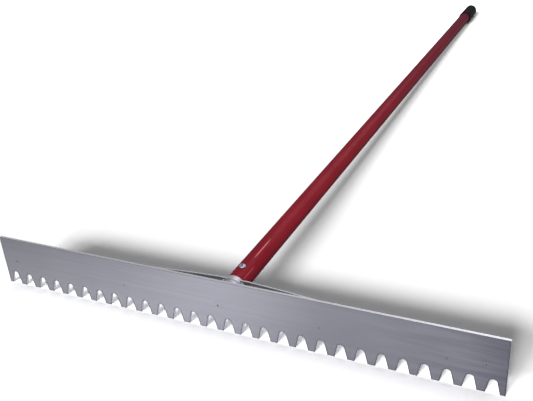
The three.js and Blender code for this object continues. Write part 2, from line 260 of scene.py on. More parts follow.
# Punching and sawing leave a darker rim on the front and back faces, round the teeth above all, so
# that rim is marked, with most of its rounded edge. The cut walls between the faces stay bright.
flat_level = (blade_back - blade_front) / 2 - same_point
bpy.ops.object.mode_set(mode="EDIT")
pick(blade, "FACE", lambda face: all(abs(vertex.co.y) > flat_level for vertex in face.verts))
bpy.ops.mesh.inset(thickness=rim_width, depth=0)
bpy.ops.object.mode_set(mode="OBJECT")
inner = {index for polygon in blade.data.polygons if polygon.select for index in polygon.vertices}
edge_mark = blade.data.attributes.new("sheared_edge", "FLOAT", "POINT")
for vertex in blade.data.vertices:
    mark = 0
    if vertex.index not in inner and abs(vertex.co.y) > flat_level - arris_radius * arris_share:
        if vertex.co.z < rim_reach:
            mark = 1
        elif vertex.co.x < blade_low.x + end_rim_reach:
            mark = left_end_mark
        elif vertex.co.x > blade_high.x - end_rim_reach:
            mark = right_end_mark
    edge_mark.data[vertex.index].value = mark


def unwrapped(piece):
    """Gives the piece a UV map that lies square on its faces."""
    select_only(piece)
    bpy.ops.object.mode_set(mode="EDIT")
    bpy.ops.mesh.select_all(action="SELECT")
    bpy.ops.uv.cube_project(cube_size=1)
    bpy.ops.object.mode_set(mode="OBJECT")


unwrapped(blade)
leaned_back(blade)
applied(blade, "WEIGHTED_NORMAL", keep_sharp=True)


# How materials are put together: a value or colour can be a number or the socket that gives it
def wire(tree, source, target):
    """Wires a socket up, or sets it where the source is a plain value."""
    if isinstance(source, bpy.types.NodeSocket):
        tree.links.new(source, target)
    else:
        target.default_value = source


def add_node(tree, kind, inputs=None, **settings):
    node = tree.nodes.new(kind)
    for setting, value in settings.items():
        setattr(node, setting, value)
    for socket, source in (inputs or {}).items():
        wire(tree, source, node.inputs[socket])
    return node


def calculate(tree, operation, *values):
    """A Math node's result."""
    return add_node(tree, "ShaderNodeMath", dict(enumerate(values)), operation=operation).outputs[0]


def spread(tree, source, low, high, from_low=0, from_high=1):
    """A value between two levels, spread out between two others."""
    return add_node(tree, "ShaderNodeMapRange", {
        "Value": source, "From Min": from_low, "From Max": from_high, "To Min": low, "To Max": high,
    }).outputs["Result"]


def blend_colours(tree, mask, first, second):
    """A colour that turns from one to another as a mask rises from 0 to 1."""
    return add_node(tree, "ShaderNodeMix", {0: mask, 6: first, 7: second}, data_type="RGBA").outputs[2]


def object_place(tree):
    return add_node(tree, "ShaderNodeTexCoord").outputs["Object"]


def place_by_axis(tree):
    return add_node(tree, "ShaderNodeSeparateXYZ", {0: object_place(tree)}).outputs


def noise(tree, scale, detail):
    return add_node(tree, "ShaderNodeTexNoise", {
        "Vector": object_place(tree), "Scale": scale, "Detail": detail,
    }).outputs["Fac"]


# Drawn grain: the fine lines that rolling and brushing leave along a bar. Length and width are the
# size of one line in metres.
grain_roughness = 0.62
drawn_grain = bpy.data.node_groups.new("drawn_grain", "ShaderNodeTree")
drawn_grain.interface.new_socket("Vector", in_out="INPUT", socket_type="NodeSocketVector")
for size in ("Length", "Width"):
    drawn_grain.interface.new_socket(size, in_out="INPUT", socket_type="NodeSocketFloat")
for pattern in ("Lines", "Hairlines"):
    drawn_grain.interface.new_socket(pattern, in_out="OUTPUT", socket_type="NodeSocketFloat")
grain_in = add_node(drawn_grain, "NodeGroupInput")
grain_out = add_node(drawn_grain, "NodeGroupOutput")
lengthwise = calculate(drawn_grain, "DIVIDE", 1, grain_in.outputs["Length"])
crosswise = calculate(drawn_grain, "DIVIDE", 1, grain_in.outputs["Width"])
stretch = add_node(drawn_grain, "ShaderNodeCombineXYZ", {"X": lengthwise, "Y": crosswise, "Z": crosswise})
stretched = add_node(drawn_grain, "ShaderNodeVectorMath",
                     {0: grain_in.outputs["Vector"], 1: stretch.outputs[0]}, operation="MULTIPLY")
for pattern, scale, detail in (("Lines", 1, 3), ("Hairlines", 4.3, 5)):
    lined = add_node(drawn_grain, "ShaderNodeTexNoise", {
        "Vector": stretched.outputs[0], "Scale": scale, "Detail": detail, "Roughness": grain_roughness})
    wire(drawn_grain, lined.outputs["Fac"], grain_out.inputs[pattern])


def grained(tree, length, width):
    """The drawn grain's lines and hairlines in a material."""
    grain = add_node(tree, "ShaderNodeGroup", {
        "Vector": object_place(tree), "Length": length, "Width": width}, node_tree=drawn_grain)
    return grain.outputs["Lines"], grain.outputs["Hairlines"]


# Noise and grain lie mostly between these two levels
usual_low = 0.3
usual_high = 0.7


def toned(tree, first, second, pattern, low=usual_low, high=usual_high, strength=1):
    """A colour that turns towards another, up to a strength, as a pattern rises from low to high."""
    return blend_colours(tree, spread(tree, pattern, 0, strength, low, high), first, second)


def new_material(name, **inputs):
    """A material whose Principled shader has these inputs set."""
    material = bpy.data.materials.new(name)
    material.use_nodes = True
    shader = material.node_tree.nodes["Principled BSDF"]
    for socket, value in inputs.items():
        shader.inputs[socket.replace("_", " ").title().replace("Ior", "IOR")].default_value = value
    return material, material.node_tree, shader


def roughened(tree, shader, pattern, least, most):
    wire(tree, spread(tree, pattern, least, most, usual_low, usual_high), shader.inputs["Roughness"])


def bumped(tree, shader, pattern, distance):
    bump = add_node(tree, "ShaderNodeBump", {"Height": pattern, "Distance": distance})
    wire(tree, bump.outputs["Normal"], shader.inputs["Normal"])


def drawn_along(tree, shader):
    """Stretches a metal's highlight along the grain, by the piece's own UV map."""
    tangent = add_node(tree, "ShaderNodeTangent", direction_type="UV_MAP", uv_map="UVMap")
    wire(tree, tangent.outputs["Tangent"], shader.inputs["Tangent"])


quarter_turn = 0.25
sheet_dark = (0.175, 0.175, 0.203, 1)
sheet_light = (0.205, 0.205, 0.234, 1)
cloud_tone = (0.15, 0.15, 0.175, 1)
cloud_from = 0.35
cloud_full = 0.75
cloud_strength = 0.5
brushed_aluminium, tree, shader = new_material(
    "brushed_aluminium", metallic=1.0, anisotropic=1.0, anisotropic_rotation=quarter_turn)
lines, hairlines = grained(tree, length=0.28, width=0.0035)
colour = toned(tree, sheet_dark, sheet_light, lines)
cloud = noise(tree, scale=5, detail=3)
colour = toned(tree, colour, cloud_tone, cloud, cloud_from, cloud_full, cloud_strength)

# Painted highlight: the left half is painted lighter, most of all towards the teeth
blade_highlight_tone = (0.34, 0.34, 0.37, 1)
blade_highlight_strength = 0.28
blade_highlight_full = -0.22
blade_highlight_end = -0.02
place = place_by_axis(tree)
painted_highlight = calculate(
    tree, "MULTIPLY",
    spread(tree, place["Z"], blade_highlight_strength, 0, notch_depth / 2, blade_high.z),
    spread(tree, place["X"], 1, 0, blade_highlight_full, blade_highlight_end))
colour = blend_colours(tree, painted_highlight, colour, blade_highlight_tone)

# Stains and painted shade: darker drawn streaks at the right-hand end, partly real stains and partly
# painted shade for its dimmer reflection, the end itself painted darker as painted shade, and three
# small dull spots along the middle where the blade was clamped or touched in use
stain_and_shade_tone = (0.075, 0.075, 0.1, 1)
stain_and_shade_from = 0.16
stain_and_shade_full = 0.56
streak_low = 0.38
streak_high = 0.62
streak_least = 0.2
streak_most = 0.75
end_shade_from = 0.4
end_shade_strength = 0.5
spot_tone = (0.06, 0.06, 0.075, 1)
spot_radius = 0.0032
spot_strength = 0.6
spots = [(-0.1857, 0.0488), (0.1769, 0.0489), (0.3722, 0.0445)]
streaks = grained(tree, length=0.16, width=0.011)[0]
stain_and_shade = calculate(
    tree, "MULTIPLY",
    spread(tree, place["X"], 0, 1, stain_and_shade_from, stain_and_shade_full),
    spread(tree, streaks, streak_least, streak_most, streak_low, streak_high))
colour = blend_colours(tree, stain_and_shade, colour, stain_and_shade_tone)
# Painted shade: darker towards the right-hand end
colour = toned(tree, colour, stain_and_shade_tone, place["X"], end_shade_from, blade_high.x, end_shade_strength)
for spot_x, spot_z in spots:
    away = add_node(tree, "ShaderNodeVectorMath", {0: object_place(tree), 1: (spot_x, blade_front, spot_z)},
                    operation="DISTANCE").outputs["Value"]
    colour = blend_colours(tree, spread(tree, away, spot_strength, 0, 0, spot_radius), colour, spot_tone)

# The rim that was marked on the blade is darker
rim_tone = (0.04, 0.04, 0.05, 1)
rim_from = 0.15
rim_full = 0.8
rim_strength = 0.85
rim = add_node(tree, "ShaderNodeAttribute", attribute_name="sheared_edge").outputs["Fac"]
colour = toned(tree, colour, rim_tone, rim, rim_from, rim_full, rim_strength)
wire(tree, colour, shader.inputs["Base Color"])
roughened(tree, shader, hairlines, least=0.33, most=0.38)
bumped(tree, shader, hairlines, distance=0.00002)
drawn_along(tree, shader)

# The cut faces between front and back are barer and brighter, and cutting left lines across them
sawn_dark = (0.29, 0.29, 0.318, 1)
sawn_light = (0.39, 0.39, 0.418, 1)
cut_aluminium, tree, shader = new_material("cut_aluminium", metallic=1.0)
lines, hairlines = grained(tree, length=0.0006, width=0.004)
wire(tree, toned(tree, sawn_dark, sawn_light, lines), shader.inputs["Base Color"])
roughened(tree, shader, hairlines, least=0.36, most=0.5)
bumped(tree, shader, lines, distance=0.00004)


def dressed(piece, *materials):
    """Gives the piece these materials and no others."""
    piece.data.materials.clear()
    for material in materials:
        piece.data.materials.append(material)


def faced(piece, face_material, cut_material):
    """Gives a flat bar one material on its front and back, and another where it was cut."""
    dressed(piece, face_material, cut_material)
    for polygon in piece.data.polygons:
        polygon.material_index = abs(polygon.normal.y) < facing


faced(blade, brushed_aluminium, cut_aluminium)
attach(blade, "root")
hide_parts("blade")


# Hub: one aluminium casting, turned where it meets other pieces. Its round foot is screwed to the
# blade's back, a low collar carries the braces, and the handle is pushed over the cored spigot.
hub_low, hub_high = measured("hub")
bolt_low, bolt_high = measured("handle_bolt")
bolt_place = (bolt_low.y + bolt_high.y) / 2
bolt_radius = 0.006350 / 2
tube_radius = (tube_high.x - tube_low.x) / 2
tube_wall = 0.00165
hub_foot_radius = (hub_high.x - hub_low.x) / 2
hub_foot_thickness = 0.006
hub_solid_length = 0.04
hub_edge_radius = 0.0006
hub_sharp_angle = math.radians(28)
hub_sides = 128
neck_radius = 0.01905
neck_fillet = 0.004
collar_radius = 0.0205
collar_length = 0.012
collar_back = tube_low.y - seat_gap
collar_front = collar_back - collar_length
collar_chamfer = 0.001
spigot_radius = tube_radius - tube_wall - seat_gap
spigot_wall = 0.005
spigot_chamfer = 0.002
quarter_steps = 8


def quarter(centre_radius, centre_place, radius, from_angle, to_angle):
    """Corners of a round stretch of a turned profile, as (radius, place along the axis)."""
    corners = []
    for step in range(quarter_steps + 1):
        turn = from_angle + (to_angle - from_angle) * step / quarter_steps
        corners.append((centre_radius + radius * math.cos(turn), centre_place + radius * math.sin(turn)))
    return corners


def face_outwards():
    """In edit mode, turns all faces outwards."""
    bpy.ops.mesh.select_all(action="SELECT")
    bpy.ops.mesh.normals_make_consistent(inside=False)


def turned(name, profile, sides, hollow=False):
    """A round piece about the Z axis: a ring is extruded and resized from corner to corner of a profile
    of (radius, place along the axis). A hollow one's profile ends where it starts."""
    radius, place = profile[0]
    piece = added(name, bpy.ops.mesh.primitive_circle_add, vertices=sides, radius=radius,
                  location=(0, 0, place), fill_type="NOTHING" if hollow else "NGON")
    bpy.ops.object.mode_set(mode="EDIT")
    bpy.ops.mesh.select_mode(type="EDGE")
    bpy.ops.mesh.select_all(action="SELECT")
    for next_radius, next_place in profile[1:]:
        bpy.ops.mesh.extrude_region_move(TRANSFORM_OT_translate={"value": (0, 0, next_place - place)})
        bpy.ops.transform.resize(value=(next_radius / radius, next_radius / radius, 1),
                                 center_override=(0, 0, next_place))
        radius, place = next_radius, next_place
    bpy.ops.mesh.select_all(action="SELECT")
    bpy.ops.mesh.remove_doubles(threshold=same_point)
    face_outwards()
    bpy.ops.object.mode_set(mode="OBJECT")
    return piece


def laid_along_handle(piece, place_x=0):
    """Turns a round piece's axis from Z to the handle's, and moves it there."""
    placed(piece, rotation_euler=along_handle, location=(place_x, 0, axis_height))


hub = turned("cast_hub", [
    (hub_foot_radius, hub_low.y),
    (hub_foot_radius, hub_low.y + hub_foot_thickness),
    *quarter(neck_radius + neck_fillet, hub_low.y + hub_foot_thickness + neck_fillet, neck_fillet,
             -math.pi / 2, -math.pi),
    (neck_radius, collar_front),
    (collar_radius - collar_chamfer, collar_front),
    (collar_radius, collar_front + collar_chamfer),
    (collar_radius, collar_back - collar_chamfer),
    (collar_radius - collar_chamfer, collar_back),
    (spigot_radius, collar_back),
    (spigot_radius, hub_high.y - spigot_chamfer),
    (spigot_radius - spigot_chamfer, hub_high.y),
    (spigot_radius - spigot_wall, hub_high.y),
    (spigot_radius - spigot_wall, hub_low.y + hub_solid_length),
], hub_sides)
laid_along_handle(hub)
applied(hub, "BEVEL", width=hub_edge_radius, segments=3, limit_method="ANGLE", angle_limit=hub_sharp_angle)
tap_end = screw_back + seat_gap
cut(hub, rod("hub_tap", hole_sides, screw_shank_radius + seat_gap, tap_end - blade_front,
             (0, (tap_end + blade_front) / 2, axis_height), along_handle))


def bolt_drill():
    """A drill straight down through the handle and the spigot."""
    return rod("bolt_drill", hole_sides, bolt_radius + seat_gap, tube_high.z - tube_low.z + 2 * overrun,
               (0, bolt_place, axis_height))


cut(hub, bolt_drill())
leaned_back(hub)

cast_dark = (0.23, 0.23, 0.262, 1)
cast_light = (0.33, 0.33, 0.367, 1)
cast_aluminium, tree, shader = new_material("cast_aluminium", metallic=0.9, roughness=0.5)
sand = noise(tree, scale=900, detail=4)
wire(tree, toned(tree, cast_dark, cast_light, noise(tree, scale=60, detail=3)), shader.inputs["Base Color"])
roughened(tree, shader, sand, least=0.42, most=0.6)
bumped(tree, shader, sand, distance=0.00015)
dressed(hub, cast_aluminium)
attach(hub, "root")
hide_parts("hub")


# Braces: two lengths of flat aluminium bar, bowed by hand from the hub's collar out to the blade's
# back, where their rounded ends lie flat and are riveted. They steady the blade's ends.
brace_low, brace_high = measured("brace_right")
brace_thickness = 0.00318
brace_start = collar_radius + seat_gap
brace_set_back = 0.005
brace_at_collar = collar_back - brace_set_back
brace_root = 0.006
brace_first_drop = 0.0125
brace_tab_length = 0.046
brace_corner_radius = 0.008
brace_edge_radius = 0.0004
brace_steps = 48
brace_at_blade = brace_low.y + brace_thickness / 2
brace_landing = brace_high.x - brace_tab_length


def bow(share):
    """The brace's middle line in plan, from its straight root at 0 to where it lands on the blade at 1."""
    start = Vector((brace_start + brace_root, brace_at_collar, axis_height))
    landing = Vector((brace_landing, brace_at_blade, axis_height))
    middle = Vector(((start.x + brace_landing) / 2, brace_at_collar - brace_first_drop, axis_height))
    return (1 - share) ** 2 * start + 2 * share * (1 - share) * middle + share ** 2 * landing


stations = [Vector((collar_radius / 2, brace_at_collar, axis_height))]
stations += [bow(step / brace_steps) for step in range(brace_steps + 1)]
stations.append(Vector((brace_high.x, brace_at_blade, axis_height)))
brace = added("bowed_brace_right", bpy.ops.mesh.primitive_plane_add, size=1, location=stations[0],
              rotation=(math.radians(90), 0, math.radians(90)))
bpy.ops.object.mode_set(mode="EDIT")
bpy.ops.mesh.select_mode(type="FACE")
bpy.ops.mesh.select_all(action="SELECT")
bpy.ops.transform.resize(value=(1, brace_thickness, brace_high.z - brace_low.z), center_override=stations[0])
heading = 0
for index in range(1, len(stations)):
    here = stations[index]
    step = here - stations[index - 1]
    onward = stations[min(index + 1, len(stations) - 1)] - stations[index - 1]
    bpy.ops.mesh.extrude_region_move(TRANSFORM_OT_translate={"value": step})
    next_heading = math.atan2(onward.y, onward.x) if index < len(stations) - 2 else 0
    bpy.ops.transform.rotate(value=heading - next_heading, orient_axis="Z", center_override=here)
    heading = next_heading
face_outwards()
pick(brace, "EDGE", lambda edge: runs_through(edge, brace_thickness / 2) and all(
    vertex.co.x > brace_high.x - overrun for vertex in edge.verts))
bpy.ops.mesh.bevel(offset=brace_corner_radius, segments=10, profile=0.5, affect="EDGES")
bpy.ops.object.mode_set(mode="OBJECT")


def collar_round():
    """The collar's round with its clearance, to cut what stands against it."""
    return rod("collar_round", hub_sides, brace_start, 2 * collar_back, (0, collar_back, axis_height),
               along_handle)


cut(brace, collar_round())
cut(brace, *drill(rivet_place, rivet_flush_radius + seat_gap, rivet_shank_radius + seat_gap,
                  rivet_flush_depth))
applied(brace, "BEVEL", width=brace_edge_radius, segments=2, limit_method="ANGLE", angle_limit=sharp_angle)
unwrapped(brace)


def mirrored(piece, name):
    """The left-hand copy of a right-hand piece, with its own mesh."""
    other = piece.copy()
    other.data = piece.data.copy()
    other.name = name
    bpy.context.scene.collection.objects.link(other)
    placed(other, scale=(-1, 1, 1))
    bpy.ops.object.mode_set(mode="EDIT")
    face_outwards()
    bpy.ops.object.mode_set(mode="OBJECT")
    return other


brace_left = mirrored(brace, "bowed_brace_left")

bar_dark = (0.165, 0.165, 0.182, 1)
bar_light = (0.245, 0.245, 0.267, 1)
bar_aluminium, tree, shader = new_material(
    "bar_aluminium", metallic=1.0, anisotropic=0.5, anisotropic_rotation=quarter_turn)
lines, hairlines = grained(tree, length=0.12, width=0.0018)
wire(tree, toned(tree, bar_dark, bar_light, lines), shader.inputs["Base Color"])
roughened(tree, shader, hairlines, least=0.34, most=0.5)
bumped(tree, shader, hairlines, distance=0.00004)
drawn_along(tree, shader)
for piece, node in ((brace, "brace_right"), (brace_left, "brace_left")):
    leaned_back(piece)
    applied(piece, "WEIGHTED_NORMAL", keep_sharp=True)
    faced(piece, bar_aluminium, cut_aluminium)
    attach(piece, "root")
    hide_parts(node)


# Weld beads: each brace is welded to the collar along the corners in front of it and behind it. A
# bead is a row of overlapping puddles of metal that froze one on the next up the seam.
bead_leg = 0.003
bead_voxels = 14
puddle_count = 14
puddle_share = 0.5
taper_power = 6
taper_share = 1 / 3
brace_width = brace_high.z - brace_low.z
bead_half_span = math.asin((brace_width / 2 - bead_leg) / brace_start)


def weld_bead(name, seat, outward):
    """The right-hand bead on a brace's front or back. Its puddles grow smaller towards its ends."""
    puddles = []
    for step in range(puddle_count):
        along_seam = 2 * step / (puddle_count - 1) - 1
        turn = bead_half_span * along_seam
        size = bead_leg * (1 - taper_share * along_seam ** taper_power)
        puddles.append(added(
            name, bpy.ops.mesh.primitive_uv_sphere_add, segments=24, ring_count=16, radius=1,
            location=(brace_start * math.cos(turn), seat, axis_height + brace_start * math.sin(turn)),
            rotation=(0, -turn, 0), scale=(size, size, size * puddle_share)))
    for puddle in puddles:
        puddle.select_set(True)
    bpy.context.view_layer.objects.active = puddles[0]
    bpy.ops.object.join()
    bead = bpy.context.object
    bead.name = name
    applied(bead, "REMESH", mode="VOXEL", voxel_size=bead_leg / bead_voxels, use_smooth_shade=True)
    bpy.ops.object.mode_set(mode="EDIT")
    bpy.ops.mesh.select_all(action="SELECT")
    bpy.ops.mesh.bisect(plane_co=(0, seat, 0), plane_no=(0, outward, 0), clear_inner=True, use_fill=True)
    face_outwards()
    bpy.ops.object.mode_set(mode="OBJECT")
    cut(bead, collar_round())
    return bead


weld_light = (0.55, 0.55, 0.58, 1)
weld_dark = (0.28, 0.28, 0.3, 1)
patch_low = 0.35
weld_metal, tree, shader = new_material("weld_metal", metallic=1.0, roughness=0.34)
soot = noise(tree, scale=140, detail=4)
wire(tree, toned(tree, weld_light, weld_dark, soot, patch_low), shader.inputs["Base Color"])
roughened(tree, shader, soot, least=0.28, most=0.5)
bumped(tree, shader, soot, distance=0.00006)
for face, outward in (("front", -1), ("back", 1)):
    seat = brace_at_collar + outward * (brace_thickness / 2 + seat_gap)
    right_bead = weld_bead(f"bead_{face}_right", seat, outward)
    left_bead = mirrored(right_bead, f"bead_{face}_left")
    for bead, side in ((right_bead, "right"), (left_bead, "left")):
        leaned_back(bead, soft_degrees=60)
        dressed(bead, weld_metal)
        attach(bead, "root")
        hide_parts(f"weld_{face}_{side}")


# Rivets: aluminium blind rivets, set from behind with their countersunk heads flush in the blade's
# front. The broken stem shows as a dark dot in front, and the set head is a dome behind the brace.
rivet_head_seat = brace_at_blade + brace_thickness / 2 + seat_gap
rivet_head_radius = (rivet_high.z - rivet_low.z) / 2
rivet_head_height = rivet_high.y - rivet_head_seat
rivet_sides = 48
stem_radius = 0.0015
stem_depth = 0.002
dome_tip_share = 0.06


def dome(radius, seat, height):
    """A low dome's profile, from its rim to a small flat at its top."""
    turns = [math.pi / 2 * (1 - dome_tip_share) * step / quarter_steps for step in range(quarter_steps + 1)]
    return [(radius * math.cos(turn), seat + height * math.sin(turn)) for turn in turns]


rivet_dark = (0.3, 0.3, 0.33, 1)
rivet_light = (0.42, 0.42, 0.46, 1)
rivet_metal, tree, shader = new_material("rivet_metal", metallic=1.0, roughness=0.42)
scuff = noise(tree, scale=420, detail=5)
wire(tree, toned(tree, rivet_dark, rivet_light, scuff, patch_low), shader.inputs["Base Color"])
bumped(tree, shader, scuff, distance=0.00005)


def brushed_flush(piece, metal):
    """Gives a fastener its metal, and the blade's brushed finish where it is flush with the front."""
    dressed(piece, metal, brushed_aluminium)
    for polygon in piece.data.polygons:
        middle = plumb @ polygon.center
        polygon.material_index = middle.y < blade_front + flush_gap and polygon.normal.y < -facing
    unwrapped(piece)


for side, node in ((-1, "brace_rivet_left"), (1, "brace_rivet_right")):
    rivet = turned(f"blind_{node}", [
        (stem_radius, blade_front + stem_depth),
        (stem_radius, blade_front),
        (rivet_flush_radius, blade_front),
        (rivet_shank_radius, blade_front + rivet_flush_depth),
        (rivet_shank_radius, rivet_head_seat),
        (rivet_head_radius, rivet_head_seat),
        *dome(rivet_head_radius, rivet_head_seat, rivet_head_height)[1:],
    ], rivet_sides)
    laid_along_handle(rivet, side * rivet_place)
    leaned_back(rivet, soft_degrees=40)
    brushed_flush(rivet, rivet_metal)
    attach(rivet, "root")
    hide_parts(node)


# Hub screw: zinc-plated countersunk screw with a hexagon socket, which holds the hub's foot to the
# blade from in front.
zinc_dark = (0.145, 0.165, 0.2, 1)
zinc_light = (0.26, 0.285, 0.32, 1)
zinc_plate, tree, shader = new_material("zinc_plate", metallic=1.0, roughness=0.3)
bloom = noise(tree, scale=260, detail=4)
wire(tree, toned(tree, zinc_dark, zinc_light, bloom, patch_low), shader.inputs["Base Color"])
roughened(tree, shader, bloom, least=0.24, most=0.4)
hexagon = 6
screw_sides = 64
screw_socket_radius = 0.002
screw_socket_depth = 0.0013
hub_screw = turned("countersunk_hub_screw", [
    (screw_head_radius, blade_front),
    (screw_shank_radius, blade_front + screw_head_depth),
    (screw_shank_radius, screw_back),
], screw_sides)
laid_along_handle(hub_screw)
cut(hub_screw, rod("hexagon_key", hexagon, screw_socket_radius, 2 * screw_socket_depth,
                   (0, blade_front, axis_height), along_handle))
leaned_back(hub_screw)
brushed_flush(hub_screw, zinc_plate)
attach(hub_screw, "root")
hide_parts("hub_screw")


# Handle: one length of round aluminium tube, powder coated deep red, with its ends deburred. It is
# pushed over the hub's spigot up to the collar.
tube_edge = 0.0005
tube_sides = 160
handle = turned("coated_handle", [
    (tube_radius - tube_wall + tube_edge, tube_low.y),
    (tube_radius - tube_edge, tube_low.y),
    *quarter(tube_radius - tube_edge, tube_low.y + tube_edge, tube_edge, -math.pi / 2, 0)[1:],
    *quarter(tube_radius - tube_edge, tube_high.y - tube_edge, tube_edge, 0, math.pi / 2),
    (tube_radius - tube_wall + tube_edge, tube_high.y),
    (tube_radius - tube_wall, tube_high.y - tube_edge),
    (tube_radius - tube_wall, tube_low.y + tube_edge),
    (tube_radius - tube_wall + tube_edge, tube_low.y),
], tube_sides, hollow=True)
laid_along_handle(handle)
cut(handle, bolt_drill())
leaned_back(handle, soft_degrees=35)

# Painted shade darkens the coat towards the handle's far end, where the light falls off, and two thin
# painted highlights run along it near the hub. Each highlight has its place across the tube, where it starts
# and ends, and its strength.
coat_light = (0.28, 0.018, 0.03, 1)
coat_dark = (0.235, 0.014, 0.025, 1)
far_shade_tone = (0.068, 0.012, 0.027, 1)
far_shade_from = 0.6
far_shade_full = 2.3
far_shade_strength = 0.9
coat_highlight_tone = (0.72, 0.21, 0.225, 1)
coat_highlight_half_width = 0.0011
coat_highlights = [(0.0065, 0.124, 0.2, 1), (0.0145, 0.062, 0.112, 0.22)]
powder_coat, tree, shader = new_material(
    "red_powder_coat", specular_ior_level=0, coat_weight=0.05, coat_roughness=0.22)
cloudiness = noise(tree, scale=9, detail=4)
place = place_by_axis(tree)
colour = toned(tree, coat_light, coat_dark, cloudiness)
colour = toned(tree, colour, far_shade_tone, place["Y"], far_shade_from, far_shade_full, far_shade_strength)
# Painted highlights: thin lighter streaks along the top of the tube, above its axis
above_axis = spread(tree, place["Z"], 0, 1, axis_height, axis_height + coat_highlight_half_width)
for highlight_x, highlight_near, highlight_far, highlight_strength in coat_highlights:
    highlight_reach = (highlight_far - highlight_near) / 2
    aside = calculate(tree, "ABSOLUTE", calculate(tree, "SUBTRACT", place["X"], highlight_x))
    onward = calculate(tree, "ABSOLUTE", calculate(tree, "SUBTRACT", place["Y"], (highlight_near + highlight_far) / 2))
    painted_highlight = calculate(
        tree, "MULTIPLY",
        spread(tree, aside, highlight_strength, 0, coat_highlight_half_width / 2, coat_highlight_half_width),
        spread(tree, onward, 1, 0, highlight_reach / 2, highlight_reach))
    colour = blend_colours(tree, calculate(tree, "MULTIPLY", painted_highlight, above_axis), colour, coat_highlight_tone)
wire(tree, colour, shader.inputs["Base Color"])
roughened(tree, shader, cloudiness, least=0.3, most=0.45)
bumped(tree, shader, noise(tree, scale=620, detail=2), distance=0.00008)
dressed(handle, powder_coat)
handle.visible_diffuse = False
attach(handle, "root")
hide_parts("handle_tube")


# Handle bolt: a zinc-plated button-head bolt with a hexagon socket, dropped through the handle and
# the spigot from above. A washer and a locking nut with a nylon ring hold it underneath.
washer_low, washer_high = measured("bolt_washer")
nut_low, nut_high = measured("bolt_nut")
insert_low, insert_high = measured("nut_insert")
bolt_seat = tube_high.z + seat_gap
bolt_head_radius = (bolt_high.y - bolt_low.y) / 2
bolt_head_height = 0.0039
bolt_socket_radius = 0.002
bolt_socket_depth = 0.0014
bolt_chamfer = 0.0006
washer_edge = 0.0002
washer_radius = (washer_high.y - washer_low.y) / 2
washer_bore = bolt_radius + seat_gap
nut_corner = (nut_high.x - nut_low.x) / 2
nut_flat = nut_corner * math.cos(math.pi / hexagon)
nut_collar_radius = 0.005
nut_collar_height = 0.0024
nut_hexagon_low = nut_low.z + nut_collar_height
nut_chamfer = 0.0009
insert_radius = (insert_high.y - insert_low.y) / 2


def stood_on_bolt(piece):
    """Moves a round piece from the Z axis to the bolt's."""
    placed(piece, location=(0, bolt_place, 0))


handle_bolt = turned("button_head_bolt", [
    (bolt_radius - bolt_chamfer, bolt_low.z),
    (bolt_radius, bolt_low.z + bolt_chamfer),
    (bolt_radius, bolt_seat),
    (bolt_head_radius - bolt_chamfer / 2, bolt_seat),
    (bolt_head_radius, bolt_seat + bolt_chamfer / 2),
    *dome(bolt_head_radius, bolt_seat, bolt_head_height)[2:],
], screw_sides)
stood_on_bolt(handle_bolt)
cut(handle_bolt, rod("hexagon_key", hexagon, bolt_socket_radius, 2 * bolt_socket_depth,
                     (0, bolt_place, bolt_seat + bolt_head_height)))
washer = turned("flat_washer", [
    (washer_bore, washer_low.z),
    (washer_radius - washer_edge, washer_low.z),
    (washer_radius, washer_low.z + washer_edge),
    (washer_radius, washer_high.z - washer_edge),
    (washer_radius - washer_edge, washer_high.z),
    (washer_bore, washer_high.z),
    (washer_bore, washer_low.z),
], screw_sides, hollow=True)
stood_on_bolt(washer)

nut = rod("locking_nut", hexagon, nut_corner, nut_high.z - nut_hexagon_low,
          (0, 0, (nut_high.z + nut_hexagon_low) / 2), (0, 0, math.pi / hexagon))
combined(nut, "INTERSECT", turned("corner_round", [
    (nut_flat, nut_hexagon_low),
    (nut_corner + seat_gap, nut_hexagon_low + nut_chamfer),
    (nut_corner + seat_gap, nut_high.z - nut_chamfer),
    (nut_flat, nut_high.z),
], screw_sides))
combined(nut, "UNION", turned("nut_collar", [
    (nut_collar_radius - bolt_chamfer, nut_low.z),
    (nut_collar_radius, nut_low.z + bolt_chamfer),
    (nut_collar_radius, nut_hexagon_low + nut_chamfer),
], screw_sides))
for bore, radius, top in (("nut_bore", washer_bore, nut_high.z + overrun),
                          ("insert_pocket", insert_radius + seat_gap, insert_high.z + seat_gap)):
    cut(nut, turned(bore, [(radius, nut_low.z - overrun), (radius, top)], screw_sides))
stood_on_bolt(nut)
for piece, node in ((handle_bolt, "handle_bolt"), (washer, "bolt_washer"), (nut, "bolt_nut")):
    leaned_back(piece, soft_degrees=35)
    dressed(piece, zinc_plate)
    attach(piece, "root")
    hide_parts(node)

nylon_ring = turned("nylon_ring", [
    (washer_bore, insert_low.z),
    (insert_radius, insert_low.z),
    (insert_radius, insert_high.z),
    (washer_bore, insert_high.z),
    (washer_bore, insert_low.z),
], screw_sides, hollow=True)
stood_on_bolt(nylon_ring)
leaned_back(nylon_ring, soft_degrees=35)
nylon_dark = (0.66, 0.66, 0.62, 1)
nylon_light = (0.74, 0.74, 0.7, 1)
nylon, tree, shader = new_material("nylon", roughness=0.5)
mottle = noise(tree, scale=500, detail=3)
wire(tree, blend_colours(tree, mottle, nylon_dark, nylon_light), shader.inputs["Base Color"])
dressed(nylon_ring, nylon)
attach(nylon_ring, "root")
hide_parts("nut_insert")


